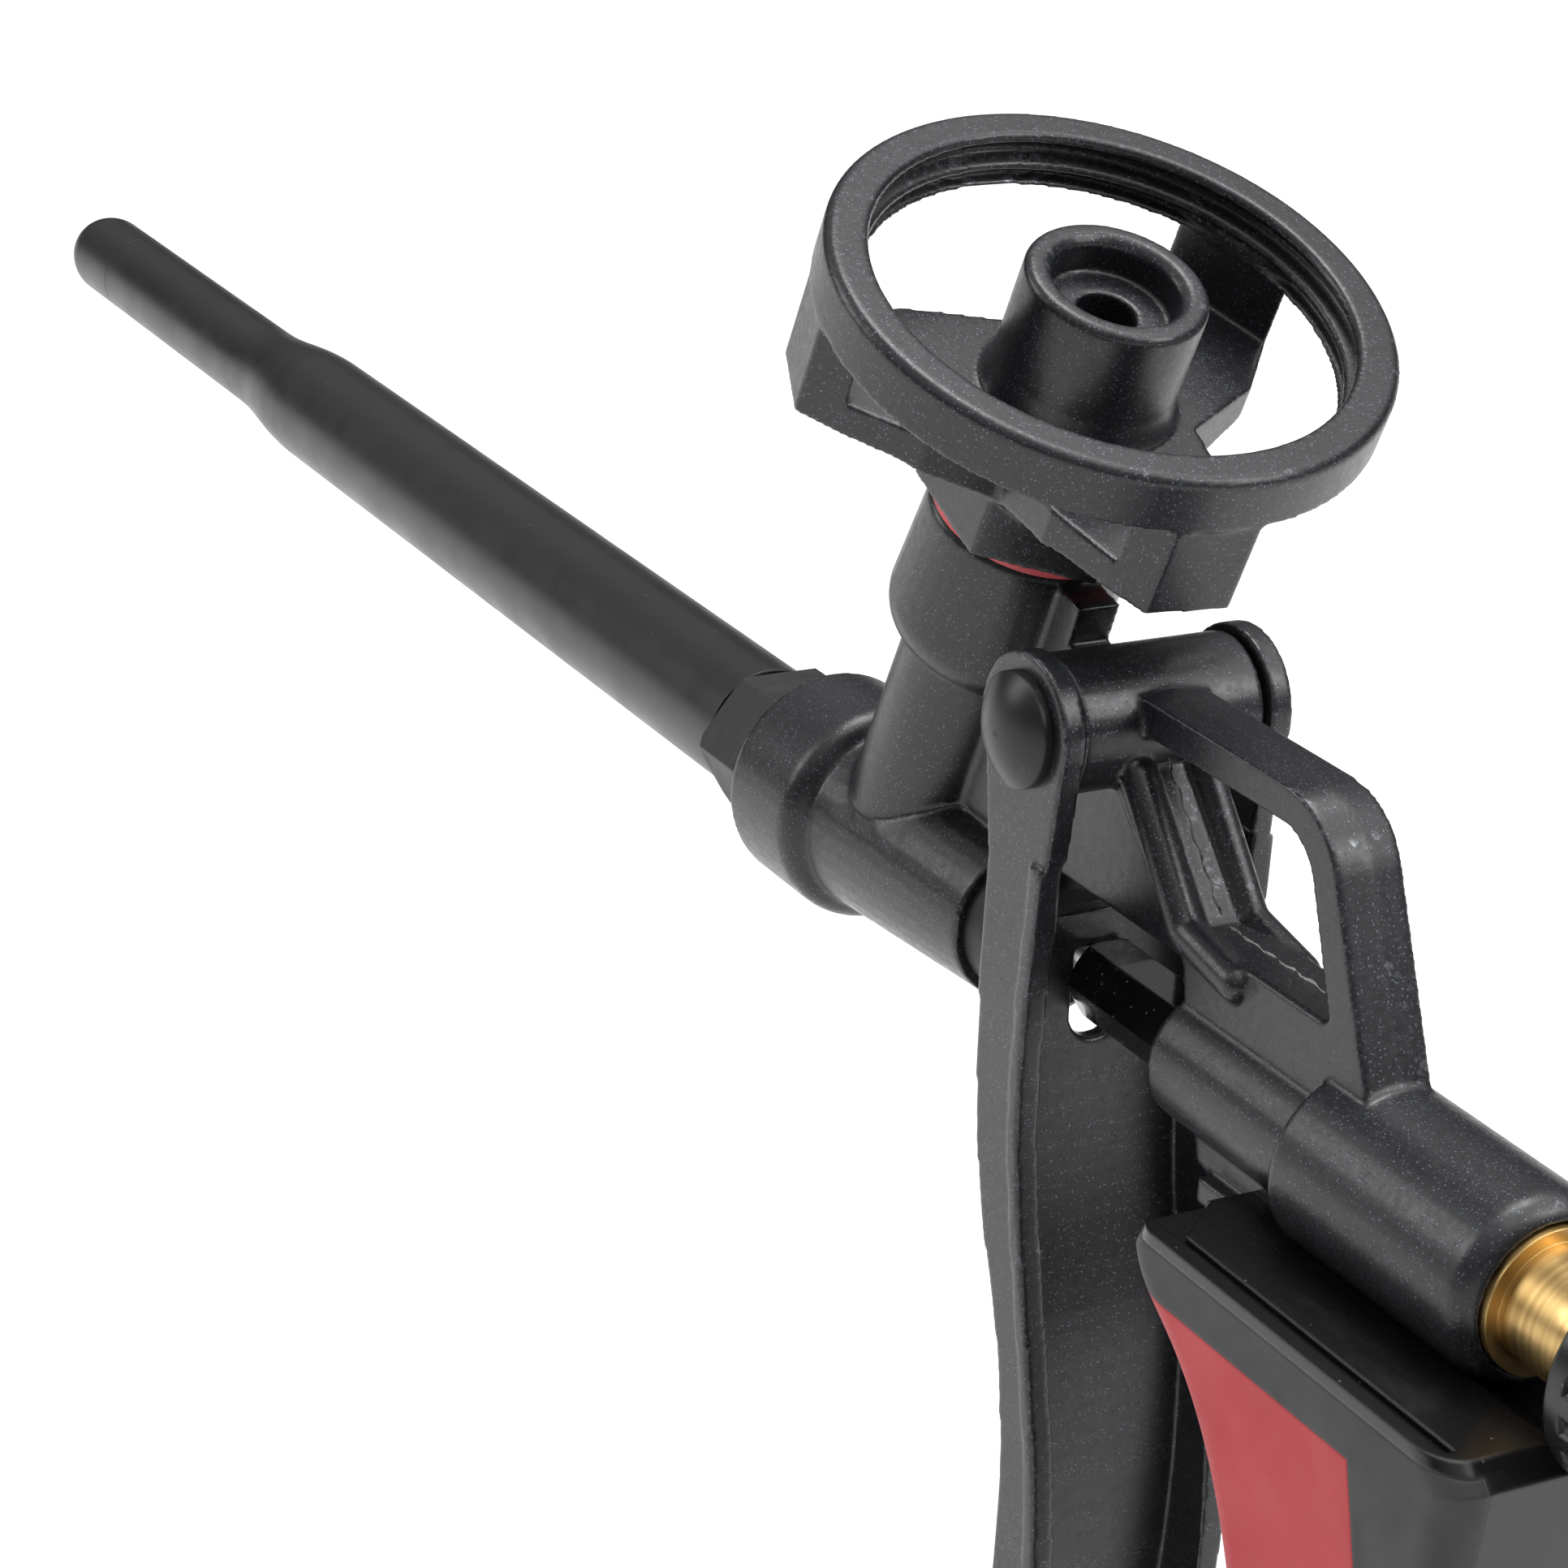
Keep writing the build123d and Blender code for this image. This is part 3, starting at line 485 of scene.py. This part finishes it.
world = bpy.data.worlds.new("studio")
scene.world = world
world.use_nodes = True
background = world.node_tree.nodes["Background"]
background.inputs["Color"].default_value = (1.0, 1.0, 1.0, 1.0)
sky = world.node_tree.nodes.new("ShaderNodeMapRange")
sky_coords = world.node_tree.nodes.new("ShaderNodeTexCoord")
sky_split = world.node_tree.nodes.new("ShaderNodeSeparateXYZ")
world.node_tree.links.new(sky_coords.outputs["Generated"], sky_split.inputs[0])
world.node_tree.links.new(sky_split.outputs["Z"], sky.inputs["Value"])
for key, number in (("From Min", 0.20), ("From Max", 0.90), ("To Min", 0.04), ("To Max", 0.85)):
    sky.inputs[key].default_value = number
world.node_tree.links.new(sky.outputs["Result"], background.inputs["Strength"])

middle = (0.22, 0.0, 0.02)
area_light("top_box", (0.05, 0.10, 0.90), middle, (0.45, 0.35), 4.0)
area_light("left_box", (-0.35, -0.70, 0.45), middle, (0.35, 0.5), 2.4)
area_light("rear_box", (0.85, 0.45, 0.50), middle, (0.30, 0.4), 2.6)

sun_data = bpy.data.lights.new("broad_sun", "SUN")
sun_data.energy = 1.9
sun_data.angle = math.radians(70.0)
sun = bpy.data.objects.new("broad_sun", sun_data)
scene.collection.objects.link(sun)
sun.rotation_mode = "QUATERNION"
sun.rotation_quaternion = Vector((-0.25, -0.30, -1.0)).to_track_quat("-Z", "Y")

scene.view_settings.view_transform = "Standard"

# the photograph's viewpoint: azimuth, elevation, roll and place of the camera
AZIMUTH, ELEVATION, ROLL = (math.radians(a) for a in (60.4909, 21.7140, 3.4765))
back = Vector((
    math.sin(AZIMUTH) * math.cos(ELEVATION), -math.cos(AZIMUTH) * math.cos(ELEVATION), math.sin(ELEVATION),
))
level_right = (-back).cross(Vector((0.0, 0.0, 1.0))).normalized()
level_up = level_right.cross(-back)
right = math.cos(ROLL) * level_right + math.sin(ROLL) * level_up
up = math.cos(ROLL) * level_up - math.sin(ROLL) * level_right
camera_data = bpy.data.cameras.new("camera")
camera_data.sensor_width = 36.0
camera_data.lens = 92.553
camera_data.clip_start = 0.01
camera = bpy.data.objects.new("camera", camera_data)
scene.collection.objects.link(camera)
turn = Matrix((right, up, back)).transposed()
camera.matrix_world = Matrix.Translation((0.52198, -0.18159, 0.14278)) @ turn.to_4x4()
scene.camera = camera
